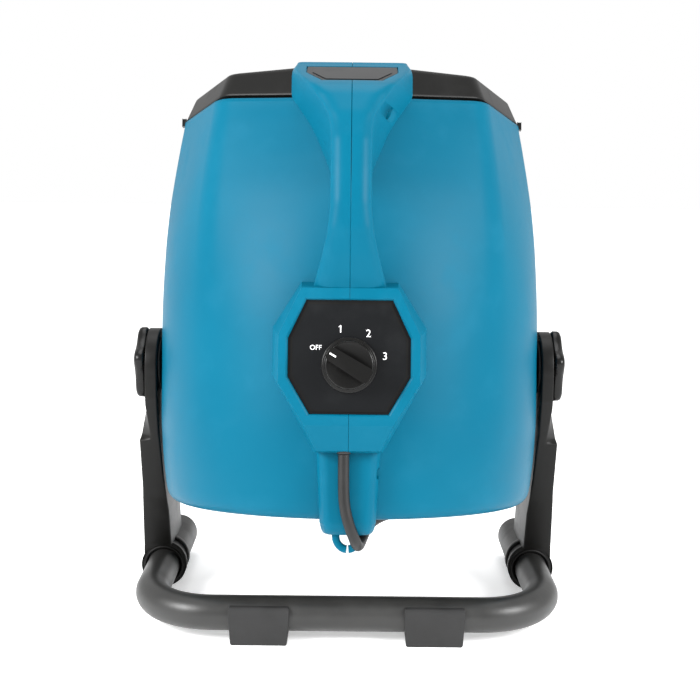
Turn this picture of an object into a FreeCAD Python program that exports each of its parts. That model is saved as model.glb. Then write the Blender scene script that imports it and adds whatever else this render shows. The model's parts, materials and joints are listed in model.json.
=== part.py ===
"""Axial air mover: a drum with its fan and handle, clamped between the arms of a U-shaped tube stand.

Row frame: +X right, +Y away from the control side, +Z up, floor at Z = 0.
Parts of the tilting head are drawn in the head's own frame, whose origin is the tilt
axis: X across, Z along the drum towards the outlet, -Y towards the handle.
"""
import FreeCAD, Part
import math
import os
import re
import Sketcher
from FreeCAD import Placement, Rotation, Vector

doc = FreeCAD.newDocument("axial_air_mover")
sheet = doc.addObject("Spreadsheet::Sheet", "dims")

# Driving dimensions in millimetres and degrees.
DIMS = {
    # stand
    "pivot_z": 184, "pivot_y": 16.05, "tilt": 9.65,
    "tube_od": 25, "tube_wall": 2, "bend_r": 50, "leg_x": 146, "bar_y": -88, "bar_z": 19, "leg_end": 88,
    "foot_x": 62, "foot_width": 43, "foot_top": 27.6,
    "sleeve_front": 12, "sleeve_back": 108, "sleeve_wall": 3.1, "rear_foot_y": 78,
    "eye_r": 27, "eye_in": 144.3, "eye_out": 152, "arm_in": 141, "arm_out": 159,
    "bush_r": 8, "bolt_r": 4, "clearance": 0.05, "washer_r": 20,
    "knob_r": 27.5, "knob_in": 152.3, "knob_out": 162,
    # drum
    "drum_r": 141.5, "wall": 3, "front_w": 183, "front_r": 127.5, "rear_w": -102, "rear_hole": 124.5,
    "flat_start": 50, "ring_top": 202.5, "ring_r": 119.5, "ring_hole": 103,
    # handle and control box
    "grip_half": 13.1, "foot_half": 40, "box_half": 49.4, "box_n": 170, "panel_t": 2.5,
    "dial_r": 17.5, "dial_top": 188, "boss_n": 150, "boss_half": 21,
    # fan and motor
    "motor_r": 48, "motor_wall": 2.5, "shaft_r": 4, "fan_r": 130, "hub_r": 40,
    # mains cord
    "cord": 7.2, "coil_mean": 41, "coil_n": 60, "coil_w": -111,
}
for row, (name, number) in enumerate(DIMS.items(), 1):
    sheet.set("A%d" % row, str(number))
    sheet.setAlias("A%d" % row, name)
doc.recompute()

WORD = re.compile(r"[a-z_][a-z_0-9]*")
SIDES = (("left", -1), ("right", 1))


def bound(text):
    """The text as an expression on the sheet's cells."""
    return WORD.sub(lambda m: "dims." + m.group() if m.group() in DIMS else m.group(), str(text))


def value(text):
    """The number that an expression on the sheet gives."""
    return float(doc.getObject("dims").evalExpression(bound(text)))


HEAD = Placement(Vector(0, value("pivot_y"), value("pivot_z")), Rotation(Vector(1, 0, 0), -value("tilt")))
STAND = Placement(Vector(0, value("pivot_y"), 0), Rotation())
nodes = {}


def node(thing, name, place=HEAD):
    """Give a finished sub-part its label and place."""
    thing.Label = name
    thing.Placement = place
    nodes[name] = thing
    return thing


def body(name):
    return doc.addObject("PartDesign::Body", name + "_body")


def sketch(owner, plane, loops, offset=0):
    """A sketch of closed loops on an origin plane: point lists, or (x, y, radius) for a circle."""
    drawing = owner.newObject("Sketcher::SketchObject", owner.Name + "_sketch")
    drawing.AttachmentSupport = ([f for f in owner.Origin.OriginFeatures if f.Role == plane][0], [""])
    drawing.MapMode = "FlatFace"
    drawing.AttachmentOffset = Placement(Vector(0, 0, value(offset)), Rotation())
    if str(offset) != "0":
        drawing.setExpression("AttachmentOffset.Base.z", bound(offset))
    for loop in loops:
        if isinstance(loop, tuple):
            x, y, radius = loop
            middle = Vector(value(x), value(y), 0)
            edge = drawing.addGeometry(Part.Circle(middle, Vector(0, 0, 1), value(radius)))
            fix(drawing, Sketcher.Constraint("Radius", edge, value(radius)), radius)
            fix(drawing, Sketcher.Constraint("DistanceX", edge, 3, value(x)), x)
            fix(drawing, Sketcher.Constraint("DistanceY", edge, 3, value(y)), y)
            continue
        spots = [Vector(value(x), value(y), 0) for x, y in loop]
        first = drawing.GeometryCount
        count = len(spots)
        for i in range(count):
            drawing.addGeometry(Part.LineSegment(spots[i], spots[(i + 1) % count]))
        for i in range(count):
            drawing.addConstraint(Sketcher.Constraint("Coincident", first + i, 2, first + (i + 1) % count, 1))
        for i, (x, y) in enumerate(loop):
            fix(drawing, Sketcher.Constraint("DistanceX", first + i, 1, spots[i].x), x)
            fix(drawing, Sketcher.Constraint("DistanceY", first + i, 1, spots[i].y), y)
    return drawing


def fix(drawing, constraint, text):
    """Add a constraint and bind it to the sheet where its text names a cell."""
    index = drawing.addConstraint(constraint)
    if bound(text) != str(text):
        drawing.setExpression("Constraints[%d]" % index, bound(text))


def pad(owner, plane, loops, length, offset=0, middle=False, taper=0, kind="Pad"):
    """Pad, or with kind "Pocket" cut, a sketch along its plane's normal."""
    feature = owner.newObject("PartDesign::" + kind, owner.Name + "_" + kind.lower())
    feature.Profile = sketch(owner, plane, loops, offset)
    feature.setExpression("Length", bound(length))
    feature.Midplane = middle
    feature.TaperAngle = taper
    doc.recompute()
    return feature


def turned(name, loops):
    """A body turned about Z from loops of (radius, height)."""
    owner = body(name)
    feature = owner.newObject("PartDesign::Revolution", owner.Name + "_revolution")
    feature.Profile = sketch(owner, "XZ_Plane", loops)
    feature.ReferenceAxis = (feature.Profile[0], ["V_Axis"])
    feature.Angle = 360
    doc.recompute()
    return owner


def padded(name, plane, loops, length, offset=0, middle=False, taper=0):
    owner = body(name)
    pad(owner, plane, loops, length, offset, middle, taper)
    return owner


def cylinder(name, radius, length, base=Vector(), axis=Vector(0, 0, 1)):
    """A round bar from base along axis, its sizes bound to the sheet."""
    bar = doc.addObject("Part::Cylinder", name + "_bar")
    bar.setExpression("Radius", bound(radius))
    bar.setExpression("Height", bound(length))
    bar.Placement = Placement(base, Rotation(Vector(0, 0, 1), axis))
    return bar


def box(name, low, high):
    block = doc.addObject("Part::Box", name + "_block")
    block.Length, block.Width, block.Height = (abs(b - a) for a, b in zip(low, high))
    block.Placement.Base = Vector(*(min(a, b) for a, b in zip(low, high)))
    return block


def joined(kind, name, base, tool):
    """A Part boolean: Cut, Common or Fuse."""
    result = doc.addObject("Part::" + kind, name + "_" + kind.lower())
    result.Base, result.Tool = base, tool
    doc.recompute()
    return result


def fused(name, pieces):
    result = doc.addObject("Part::MultiFuse", name + "_fuse")
    result.Shapes = pieces
    doc.recompute()
    return result


def group(name, pieces, place=HEAD):
    """Identical separate solids in one node."""
    result = doc.addObject("Part::Compound", name + "_group")
    result.Links = pieces
    doc.recompute()
    return node(result, name, place)


def ring(name, inner, outer, low, high):
    return turned(name, [[(inner, low), (outer, low), (outer, high), (inner, high)]])


def polar(owner, feature, count):
    """Repeat a feature evenly about the body's Z axis."""
    pattern = owner.newObject("PartDesign::PolarPattern", owner.Name + "_pattern")
    pattern.Originals = [feature]
    pattern.Axis = ([f for f in owner.Origin.OriginFeatures if f.Role == "Z_Axis"][0], [""])
    pattern.Angle = 360
    pattern.Occurrences = count
    owner.Tip = pattern
    doc.recompute()


# ---------------------------------------------------------------- drum
FLAT_TAPER = math.degrees(math.atan2(
    value("drum_r - front_r * cos(22.5 deg)"), value("front_w - flat_start")))


def drum_form(name, grow):
    """The drum's outside grown by an amount: a turned barrel cut by eight flats that fade rearwards."""
    barrel = turned(name, [[
        ("0", "rear_w - %s" % grow), ("130 + %s" % grow, "rear_w - %s" % grow),
        ("135 + %s" % grow, "rear_w + 4"),
        ("138 + %s" % grow, "-86"), ("drum_r - 1.5 + %s" % grow, "-64"), ("drum_r + %s" % grow, "0"),
        ("drum_r - 1 + %s" % grow, "49"), ("drum_r - 3 + %s" % grow, "98"),
        ("drum_r - 6.5 + %s" % grow, "front_r"),
        ("front_r + %s" % grow, "front_w"), ("0", "front_w")]])
    flat = "(front_r * cos(22.5 deg) + %s) / cos(22.5 deg)" % grow
    corners = [("%s * cos(%g deg)" % (flat, a), "%s * sin(%g deg)" % (flat, a)) for a in range(0, 360, 45)]
    prism = body(name + "_flats")
    feature = pad(prism, "XY_Plane", [corners], "front_w - rear_w + 10", "front_w", taper=FLAT_TAPER)
    feature.Reversed = True
    doc.recompute()
    return joined("Common", name, barrel, prism)


drum_outside = drum_form("drum_outside", 0)
cavity = turned("drum_cavity", [[
    ("0", "rear_w - 1"), ("rear_hole", "rear_w - 1"), ("rear_hole", "rear_w + 3"), ("134", "-90"),
    ("drum_r - 4.5", "-64"), ("drum_r - wall", "0"), ("drum_r - wall - 1", "49"), ("113", "170"),
    ("ring_hole + 6", "front_w + 1"), ("0", "front_w + 1")]])
shell = joined("Cut", "drum_hollow", drum_outside, cavity)
bosses = [cylinder("pivot_boss_" + side, "24", "9", Vector(s * 133, 0, 0), Vector(s, 0, 0))
          for side, s in SIDES]
shell = fused("drum_bossed", [shell] + bosses)
bores = [cylinder("bush_bore_" + side, "bush_r", "40", Vector(s * 120, 0, 0), Vector(s, 0, 0))
         for side, s in SIDES]
shell = joined("Cut", "drum_bored", shell, fused("bush_bores", bores))
node(shell, "drum_shell")

# octagonal outlet ring: a tapered frame with a round mouth
ring_corners = [("front_r * cos(%g deg)" % a, "front_r * sin(%g deg)" % a) for a in range(0, 360, 45)]
outlet = body("front_ring")
pad(outlet, "XY_Plane", [ring_corners], "ring_top - front_w - 0.4", "front_w + 0.4",
    taper=-math.degrees(math.atan2(value("(front_r - ring_r) * cos(22.5 deg)"), value("ring_top - front_w"))))
mouth = ring("outlet_mouth", "0", "ring_hole", "front_w - 1", "ring_top + 1")
front_ring = joined("Cut", "outlet_ring", outlet, mouth)


def guard(name, outer, low, height, rings, bars, hub):
    """A round grille: concentric rings joined by radial bars and a hub disc."""
    grille = body(name)
    loops = [[(r - 1.2, low), (r + 1.2, low), (r + 1.2, low + height), (r - 1.2, low + height)]
             for r in rings]
    loops.append([(outer - 4, low), (outer, low), (outer, low + height), (outer - 4, low + height)])
    bands = doc.addObject("Part::Revolution", name + "_bands")
    bands.Source = sketch(grille, "XZ_Plane", loops)
    bands.Source.Label = name + "_sections"
    bands.Axis = Vector(0, 0, 1)
    bands.Angle = 360
    bands.Solid = True
    spider = ring(name + "_hub", "0", str(hub), low, low + height)
    bar = pad(spider, "XY_Plane", [[(hub - 2, -1.6), (outer - 2, -1.6), (outer - 2, 1.6), (hub - 2, 1.6)]],
              height, low)
    polar(spider, bar, bars)
    return fused(name, [bands, spider])


node(guard("front_guard", value("ring_hole") - 0.2, 195, 4, range(34, 96, 10), 8, 27), "front_guard")
node(guard("rear_guard", value("rear_hole") - 0.2, -101.5, 4, range(38, 116, 11), 8, 32), "rear_guard")
node(ring("guard_badge", "0", "24", "199.1", "201.5"), "guard_badge")


def screws(name, radius, count, start, head, tip):
    """Pan-head screws set evenly round the drum's axis, heads at one height and tips at another."""
    pieces = []
    for i in range(count):
        angle = math.radians(start + i * 360 / count)
        spot = Vector(radius * math.cos(angle), radius * math.sin(angle), 0)
        down = 1 if tip > head else -1
        cap = cylinder(name, "3.5", "2.2", spot + Vector(0, 0, head), Vector(0, 0, down))
        shank = cylinder(name, "1.75", str(abs(tip - head)), spot + Vector(0, 0, head), Vector(0, 0, down))
        pieces.append(joined("Fuse", name, cap, shank))
    return group(name, pieces)


ring_screws = screws("front_ring_screws", 110, 8, 0, 201.5, 186)
holes = joined("Cut", "outlet_ring_holed", front_ring, ring_screws)
node(holes, "front_ring")
clips = [box("ring_clip", (s * 128.7, -4, 181), (s * 130.6, 4, 187)) for side, s in SIDES]
group("ring_clips", clips)

# ---------------------------------------------------------------- handle and control box
profile = [(116, 203), (168, 177), (174, 171), (182, 157), (188, 140), (190, 120), (190, 100), (187, 84),
           (181, 68), (174, 54), ("box_n", 48), ("box_n", -31), (158, -55.5), ("boss_n", -56),
           ("boss_n", -99), (148.5, -104), (145, -108), (140, -110), (140, -122.2), (134, -122.2),
           (134, -110), (124, -108), (124, -60), (116, -60)]
finger_gap = [(136, 128), (136, 56), (158, 54), (172, 66), (172, 116), (158, 122)]
outline = [(-36, 203), (-40.5, 198), ("-foot_half - 1", 178), (-34, 168.5), (-29, 160), (-25.5, 153),
           (-21.5, 144), (-17, 132), ("-grip_half - 0.7", 125), ("-grip_half", 118), ("-grip_half", 98),
           (-15, 80), (-18.5, 65), (-23, 54), (-31, 53), ("-box_half", 24), ("-box_half", -5),
           (-45.5, -17), (-23, -53), ("-boss_half", -55), ("-boss_half", -103), (-19, -107.5),
           (-14, -110), (-10.3, -111), (-9.5, -116), (-6, -120.5), (0, -122.2)]
mirrored = [(("-(%s)" % x if isinstance(x, str) else -x), y) for x, y in reversed(outline[:-1])]
side_loops = [[("-(%s)" % n, w) for n, w in profile], [(-n, w) for n, w in finger_gap]]
side_view = padded("handle_side", "YZ_Plane", side_loops, "120", middle=True)
front_view = padded("handle_front", "XZ_Plane", [outline + mirrored], "100", "100")
form = joined("Common", "handle_form", side_view, front_view)
form = joined("Cut", "handle_seated", form, drum_form("drum_seat", 0.3))
ring_seat = [("(front_r + 0.6) * cos(%g deg)" % a, "(front_r + 0.6) * sin(%g deg)" % a)
             for a in range(0, 360, 45)]
form = joined("Cut", "handle_over_ring", form, padded(
    "ring_seat", "XY_Plane", [ring_seat], "ring_top - front_w + 4", "front_w - 1", taper=-20.4))
panel_loop = [(-27, 40.5), (27, 40.5), (38.3, 16.6), (38.3, -7.4), (24.8, -30.6), (-24.8, -30.6),
              (-38.3, -7.4), (-38.3, 16.6)]
recess = padded("panel_recess", "XZ_Plane", [[(x * 1.006, w * 1.006) for x, w in panel_loop]],
                "10", "box_n - panel_t - 1")
chamber = padded("switch_chamber", "XZ_Plane", [[(-33, 37), (33, 37), (33, -26), (-33, -26)]],
                 "40", "box_n - 42")
form = joined("Cut", "handle_hollow", form, fused("handle_voids", [recess, chamber]))

insert_loop = [(127, 197.4), (160, 180.9), (158.7, 178.2), (125.7, 194.7)]
insert_face = [(-29.2, -125), (29.2, -125), (29, -130), (24.5, -144), (15.6, -161), (-15.6, -161),
               (-24.5, -144), (-29, -130)]


def insert_form(name):
    """The trapezoid let into the foot's end face, or the pocket that takes it."""
    loop = [(-n, w) for n, w in insert_loop]
    return joined("Common", name, padded(name + "_side", "YZ_Plane", [loop], "60", middle=True),
                  padded(name + "_front", "XY_Plane", [insert_face], "30", "172"))


form = joined("Cut", "handle_pocketed", form, insert_form("insert_pocket"))
node(insert_form("insert_form"), "handle_insert")
SCREW_SPOTS = ((150, 161, 12), (146, -70, 17))
handle_screws = []
for n, w, depth in SCREW_SPOTS:
    cap = cylinder("handle_screw", "3.5", "2.5", Vector(depth, -n, w), Vector(-1, 0, 0))
    shank = cylinder("handle_screw", "1.75", "16", Vector(depth, -n, w), Vector(-1, 0, 0))
    handle_screws.append(joined("Fuse", "handle_screw", cap, shank))
group("handle_screws", handle_screws)
wells = [cylinder("screw_well", "3.6", "40", Vector(depth - 2.5, -n, w), Vector(1, 0, 0))
         for n, w, depth in SCREW_SPOTS]
holes = [cylinder("screw_hole", "1.8", "14", Vector(depth - 2.3, -n, w), Vector(-1, 0, 0))
         for n, w, depth in SCREW_SPOTS]
form = joined("Cut", "handle_drilled", form, fused("screw_wells", wells + holes))
notch = cylinder("cord_notch", "4.4", "20", Vector(6.8, -125, -117.8), Vector(0, -1, 0))
gland = cylinder("cord_gland", "4.8", "32", Vector(-2.9, -154, -24), Vector(0, 0, -1))
form = joined("Cut", "handle_notched", form, fused("cord_ways", [notch, gland]))
for side, s in SIDES:
    half = box("handle_half_" + side, (s * 0.1, -230, -140), (s * 70, -90, 230))
    node(joined("Common", "handle_shell_" + side, form, half), "handle_shell_" + side)

panel = padded("control_panel", "XZ_Plane", [panel_loop], "panel_t", "box_n - panel_t - 0.9")
pad(panel, "XZ_Plane", [("0", "0", "4.5")], "20", "box_n - panel_t - 5", kind="Pocket").Reversed = True
node(panel, "control_panel")
node(padded("rotary_switch", "XZ_Plane", [[(-15, -15), (15, -15), (15, 15), (-15, 15)]], "17", "149"),
     "rotary_switch")
node(cylinder("capacitor", "9.5", "44"), "capacitor", HEAD.multiply(Placement(
    Vector(-22, -154, 26), Rotation(Vector(0, 0, 1), Vector(1, 0, 0)))))
dial = turned("speed_knob", [[("0", "0"), ("dial_r", "0"), ("dial_r", "6"), ("dial_r - 2", "8"), ("0", "8")]])
pad(dial, "XY_Plane", [[(-3.6, -16), (3.6, -16), (3.6, 16), (-3.6, 16)]], "9", "7.9")
dial_turn = Rotation(Vector(0, 0, 1), Vector(0, -1, 0))
dial_place = HEAD.multiply(Placement(Vector(0, -value("box_n"), 0), dial_turn))
node(dial, "speed_knob", dial_place.multiply(Placement(Vector(), Rotation(Vector(0, 0, 1), 59))))
relief = turned("strain_relief", [[
    ("cord / 2 + 0.05", "0"), ("6.2", "0"), ("6.2", "4"), ("4.75", "4.1"), ("4.3", "34.6"),
    ("cord / 2 + 0.05", "34.6")]])
relief_place = Placement(Vector(-2.9, -154, -21.9), Rotation(Vector(1, 0, 0), 180))
node(relief, "strain_relief", HEAD.multiply(relief_place))

# ---------------------------------------------------------------- motor and impeller
can = turned("motor_housing", [[
    ("11.05", "20"), ("11.05", "12"), ("14", "12"), ("14", "17.5"), ("motor_r - motor_wall", "17.5"),
    ("motor_r - motor_wall", "-60"), ("motor_r", "-60"), ("motor_r", "20")]])
node(can, "motor_housing")
node(turned("motor_end_cap", [[
    ("11.05", "-60.2"), ("11.05", "-68"), ("motor_r - 8", "-68"), ("motor_r", "-64"),
    ("motor_r", "-60.2")]]), "motor_end_cap")
node(ring("stator", "25.2", "motor_r - motor_wall - 0.1", "-42", "-2"), "stator")
node(ring("front_bearing", "shaft_r + clearance", "11", "12", "19"), "front_bearing")
node(ring("rear_bearing", "shaft_r + clearance", "11", "-67.5", "-60.5"), "rear_bearing")
spider = ring("motor_mount", "motor_r + 0.1", "motor_r + 4", "-52", "-12")
strut = pad(spider, "XY_Plane", [[(2, "motor_r + 2"), (2, 136.6), (-2, 136.6), (-2, "motor_r + 2")]],
            "30", "-47")
polar(spider, strut, 6)
node(spider, "motor_mount")
shaft = turned("motor_shaft", [[("0", "-72"), ("shaft_r", "-72"), ("shaft_r", "92"), ("0", "92")]])
node(shaft, "motor_shaft")
node(ring("rotor_core", "shaft_r", "24.6", "-42", "-2"), "rotor_core")
hub_loop = [("shaft_r", "30"), ("hub_r - 4", "30"), ("hub_r", "34"), ("hub_r", "74"), ("hub_r - 8", "82"),
            ("shaft_r", "82")]
fan = turned("impeller", [hub_loop])
blade = fan.newObject("PartDesign::AdditiveLoft", "impeller_blade")
root = sketch(fan, "YZ_Plane", [[(-21, 33), (-18, 31), (3, 53), (21, 70), (18, 73), (-1, 55)]], "hub_r - 5")
tip = sketch(fan, "YZ_Plane", [[(-41, 45), (-40, 42.6), (2, 51.6), (41, 58), (40, 60.4), (1, 54)]], "fan_r")
blade.Profile = root
blade.Sections = [tip]
blade.Ruled = True
doc.recompute()
polar(fan, blade, 5)
tip_trim = ring("fan_trim", "0", "fan_r + 3", "20", "95")
node(joined("Common", "impeller_trimmed", fan, tip_trim), "impeller")
six_sided = [("8 * cos(%d deg)" % a, "8 * sin(%d deg)" % a) for a in range(0, 360, 60)]
node(padded("hub_nut", "XY_Plane", [six_sided, ("0", "0", "shaft_r")], "6", "82.1"), "hub_nut")

# ---------------------------------------------------------------- tilt pivots
for side, s in SIDES:
    across = Rotation(Vector(0, 0, 1), Vector(s, 0, 0))
    spot = HEAD.multiply(Placement(Vector(), across))
    bush = ring("pivot_bush_" + side, "bolt_r + clearance", "bush_r", "131", "eye_out - 0.3")
    node(bush, "pivot_bush_" + side, spot)
    washer = ring("friction_washer_" + side, "bush_r", "washer_r", "142.2", "143.9")
    node(washer, "friction_washer_" + side, spot)
    star = ring("clamp_knob_" + side, "0", "knob_r - 6", "knob_in", "knob_out")
    lobe = pad(star, "XY_Plane", [("knob_r - 9.5", "0", "9.5")], "knob_out - knob_in - 1", "knob_in")
    polar(star, lobe, 5)
    node(star, "clamp_knob_" + side, spot)
    node(ring("clamp_bolt_" + side, "0", "bolt_r", "128", "knob_in"), "clamp_bolt_" + side, spot)

# ---------------------------------------------------------------- stand
half_bar = value("leg_x - bend_r")
path = [Vector(-value("leg_x"), value("leg_end"), 0), Vector(-value("leg_x"), value("bar_y + bend_r"), 0),
        Vector(-half_bar, value("bar_y"), 0), Vector(half_bar, value("bar_y"), 0),
        Vector(value("leg_x"), value("bar_y + bend_r"), 0), Vector(value("leg_x"), value("leg_end"), 0)]
tube = body("base_tube")
spine = tube.newObject("Sketcher::SketchObject", "base_tube_spine")
spine.AttachmentSupport = ([f for f in tube.Origin.OriginFeatures if f.Role == "XY_Plane"][0], [""])
spine.MapMode = "FlatFace"


def bend(centre_x, start, stop):
    """The quarter circle that joins a leg to the front bar."""
    centre = Vector(centre_x, value("bar_y + bend_r"), 0)
    circle = Part.Circle(centre, Vector(0, 0, 1), value("bend_r"))
    return Part.ArcOfCircle(circle, math.radians(start), math.radians(stop))


spine.addGeometry(Part.LineSegment(path[0], path[1]))
spine.addGeometry(bend(-half_bar, 180, 270))
spine.addGeometry(Part.LineSegment(path[2], path[3]))
spine.addGeometry(bend(half_bar, 270, 360))
spine.addGeometry(Part.LineSegment(path[4], path[5]))
for first, end, second, start in ((0, 2, 1, 1), (1, 2, 2, 1), (2, 2, 3, 1), (3, 2, 4, 1)):
    spine.addConstraint(Sketcher.Constraint("Coincident", first, end, second, start))
section = tube.newObject("Sketcher::SketchObject", "base_tube_section")
section.AttachmentSupport = ([f for f in tube.Origin.OriginFeatures if f.Role == "XZ_Plane"][0], [""])
section.MapMode = "FlatFace"
section.AttachmentOffset = Placement(Vector(0, 0, -value("leg_end")), Rotation())
for radius in ("tube_od / 2", "tube_od / 2 - tube_wall"):
    circle = section.addGeometry(Part.Circle(Vector(-value("leg_x"), 0, 0), Vector(0, 0, 1), value(radius)))
    fix(section, Sketcher.Constraint("Radius", circle, value(radius)), radius)
pipe = tube.newObject("PartDesign::AdditivePipe", "base_tube_pipe")
pipe.Profile = section
pipe.Spine = (spine, [])
doc.recompute()
node(tube, "base_tube", Placement(Vector(0, value("pivot_y"), value("bar_z")), Rotation()))


def along_y(name, radius, low, high, x):
    """A round bar parallel to Y at the tube's height."""
    start = Vector(value(x), value(low), value("bar_z"))
    return cylinder(name, radius, "%s - (%s)" % (high, low), start, Vector(0, 1, 0))


for side, s in SIDES:
    leg = "%d * leg_x" % s
    upper = padded("arm_plate_" + side, "YZ_Plane", [[
        (-20, -18), (20, -18), (34, -45), (58, -105), (78, -160), (50, -166), (16, -164), (13, -148),
        (-4, -105), (-21, -50)]], "eye_out - eye_in", "eye_in" if s > 0 else "-eye_out")
    upper.Placement.Base = Vector(0, 0, value("pivot_z"))
    lower = padded("arm_body_" + side, "YZ_Plane", [[
        (-19, -54), (30, -50), (56, -105), (78, -160), (50, -166), (16, -164), (13, -148), (-4, -105)]],
        "arm_out - arm_in", "arm_in" if s > 0 else "-arm_out")
    lower.Placement.Base = Vector(0, 0, value("pivot_z"))
    eye = cylinder("arm_eye_" + side, "eye_r", "eye_out - eye_in",
                   Vector(s * value("eye_in"), 0, value("pivot_z")), Vector(s, 0, 0))
    sleeve = along_y("sleeve_" + side, "tube_od / 2 + sleeve_wall", "sleeve_front", "sleeve_back", leg)
    mouth_ring = along_y("sleeve_ring_" + side, "17.7", "sleeve_front", "sleeve_front + 9", leg)
    arm = fused("arm_solid_" + side, [upper, lower, eye, sleeve, mouth_ring])
    bore = along_y("sleeve_bore_" + side, "tube_od / 2", "sleeve_front - 1", "leg_end + 0.5", leg)
    eye_bore = cylinder("eye_bore_" + side, "bush_r + clearance", "40",
                        Vector(s * 130, 0, value("pivot_z")), Vector(s, 0, 0))
    bored = joined("Cut", "arm_" + side, arm, fused("arm_bores_" + side, [bore, eye_bore]))
    node(bored, "arm_" + side, STAND)

    block = box("foot_block_" + side, (value("foot_x") * s - 21.5, value("bar_y") - 15.5, 0),
                (value("foot_x") * s + 21.5, value("bar_y") + 15.5, value("foot_top")))
    groove = cylinder("foot_groove_" + side, "tube_od / 2", "60",
                      Vector(value("foot_x") * s - 30, value("bar_y"), value("bar_z")), Vector(1, 0, 0))
    node(joined("Cut", "front_foot_" + side, block, groove), "front_foot_" + side, STAND)

    pad_low = box("rear_pad_" + side, (s * 146 - 10, value("rear_foot_y") - 14, 0),
                  (s * 146 + 10, value("rear_foot_y") + 14, 8))
    cup = along_y("rear_cup_" + side, "tube_od / 2 + sleeve_wall", "20", "110", leg)
    node(joined("Cut", "rear_foot_" + side, pad_low, cup), "rear_foot_" + side, STAND)

# ---------------------------------------------------------------- mains cord
CORD_ROUTE = [(-2.9, 154, -57), (-2.9, 154, -74), (-2.4, 154, -89), (0.5, 153.2, -101), (4.5, 148.5, -112),
              (6.8, 137, -118.5), (9, 121, -117), (13, 98, -110.8), (21, 68, -107.6), (37, 36, -107.4),
              (47.6, 2, -107.4), (48.4, -30, -107.4), (48.3, -62, -107.4)]
LEAD_ROUTE = [(-6.8, -107.8, -114), (-22.7, -102.6, -113.6), (-40, -93.4, -112.8), (-58, -83.8, -111.5)]


def cord_tube(route, diameter):
    """A round cord along straight runs joined by tangent arcs as large as the runs allow."""
    spots = [Vector(x, -n, w) for x, n, w in route]
    edges, here, radii = [], spots[0], []
    for before, corner, after in zip(spots, spots[1:], spots[2:]):
        back, ahead = before - corner, after - corner
        cut = 0.45 * min(back.Length, ahead.Length)
        back.normalize()
        ahead.normalize()
        half_turn = (math.pi - back.getAngle(ahead)) / 2
        if half_turn < 1e-4:
            continue
        radius = cut / math.tan(half_turn)
        radii.append(round(radius))
        first, last = corner + back * cut, corner + ahead * cut
        middle = (back + ahead).normalize()
        top = corner + middle * (radius / math.cos(half_turn) - radius)
        edges += [Part.LineSegment(here, first).toShape(), Part.Arc(first, top, last).toShape()]
        here = last
    edges.append(Part.LineSegment(here, spots[-1]).toShape())
    line = Part.Wire(edges)
    start = Part.Wire(Part.Circle(spots[0], spots[1] - spots[0], diameter / 2).toShape())
    solid = line.makePipeShell([start], True, True)
    print("cord radii", radii, "length", round(line.Length, 1),
          "volume ratio", round(solid.Volume / (line.Length * math.pi * diameter ** 2 / 4), 4))
    return solid


def feature(name, shape, place=HEAD):
    thing = doc.addObject("Part::Feature", name + "_feature")
    thing.Shape = shape
    return node(thing, name, place)


cord = value("cord")
coil_in = value("coil_mean - 1.5 * cord - 0.9")
coil_out = value("coil_mean + 1.5 * cord + 0.7")
coil_place = HEAD.multiply(Placement(Vector(0, value("coil_n"), value("coil_w")), Rotation()))
coil_body = turned("cord_coil", [[
    (coil_in + 2, -7.8), (coil_out - 2, -7.8), (coil_out, -5.8), (coil_out, 5.8), (coil_out - 2, 7.8),
    (coil_in + 2, 7.8), (coil_in, 5.8), (coil_in, -5.8)]])
node(coil_body, "cord_coil", coil_place)
coil_solid = coil_body.Shape.copy()
coil_solid.Placement = Placement(Vector(0, value("coil_n"), value("coil_w")), Rotation())


def outside_coil(solid, keep):
    """The part of a cord tube outside the coil that holds the given end."""
    spot = Vector(keep[0], -keep[1], keep[2])
    return min(solid.cut(coil_solid).Solids, key=lambda piece: piece.distToShape(Part.Vertex(spot))[0])


feature("cord_run", outside_coil(cord_tube(CORD_ROUTE, cord), CORD_ROUTE[0]))
feature("cord_tail", outside_coil(cord_tube(LEAD_ROUTE, cord), LEAD_ROUTE[-1]))
plug_axis = Vector(-18, -9.6, 0).normalize()
plug_place = HEAD.multiply(Placement(Vector(-58, 83.8, -111.5), Rotation(Vector(0, 0, 1), plug_axis)))
plug = turned("cord_plug", [[
    ("0", "0"), ("5", "0"), ("6.5", "12"), ("7", "12.5"), ("7.8", "16"), ("7.8", "34"), ("0", "34")]])
node(plug, "cord_plug", plug_place)
blades = [box("plug_blade", (-3.2, s * 3.4 - 0.8, 34), (3.2, s * 3.4 + 0.8, 49)) for side, s in SIDES]
group("plug_blades", blades, plug_place)
ties = []
for side, s in SIDES:
    centre = s * value("coil_mean")
    outer = box("tie", (centre - 14.6, 54, -120.4), (centre + 14.6, 66, -102))
    inner = box("tie", (centre - 13.4, 53, -119.2), (centre + 13.4, 67, -101))
    ties.append(joined("Cut", "tie", outer, inner))
group("coil_ties", ties)

# ---------------------------------------------------------------- check and write
doc.recompute()
for thing in doc.Objects:
    if any(word in thing.State for word in ("Invalid", "Error")):
        raise RuntimeError("%s did not compute: %s" % (thing.Label, thing.State))
for name, thing in nodes.items():
    if thing.Shape.isNull() or not thing.Shape.isValid() or not thing.Shape.Solids:
        raise RuntimeError("%s has no valid solid" % name)
    if name not in ("front_ring_screws", "ring_clips", "handle_screws", "plug_blades", "coil_ties") and len(
            thing.Shape.Solids) > 1:
        print("note:", name, "has", len(thing.Shape.Solids), "solids")
os.makedirs("parts", exist_ok=True)
for name, thing in nodes.items():
    thing.Shape.exportStep("parts/%s.step" % name)
total = Part.makeCompound([
    t.Shape for n, t in nodes.items() if not n.startswith(("cord_", "plug_", "coil_"))])
print(len(nodes), "nodes, box", total.BoundBox)
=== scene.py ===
"""Looks of the axial air mover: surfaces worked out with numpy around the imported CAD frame.

Sizes are in millimetres until a mesh is made. Pieces of the tilting head are drawn in the head's
own directions: x across, n out towards the handle, w along the drum towards the outlet.
"""
import json
import math
import bpy
import numpy as np
from mathutils import Matrix, Vector


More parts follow.
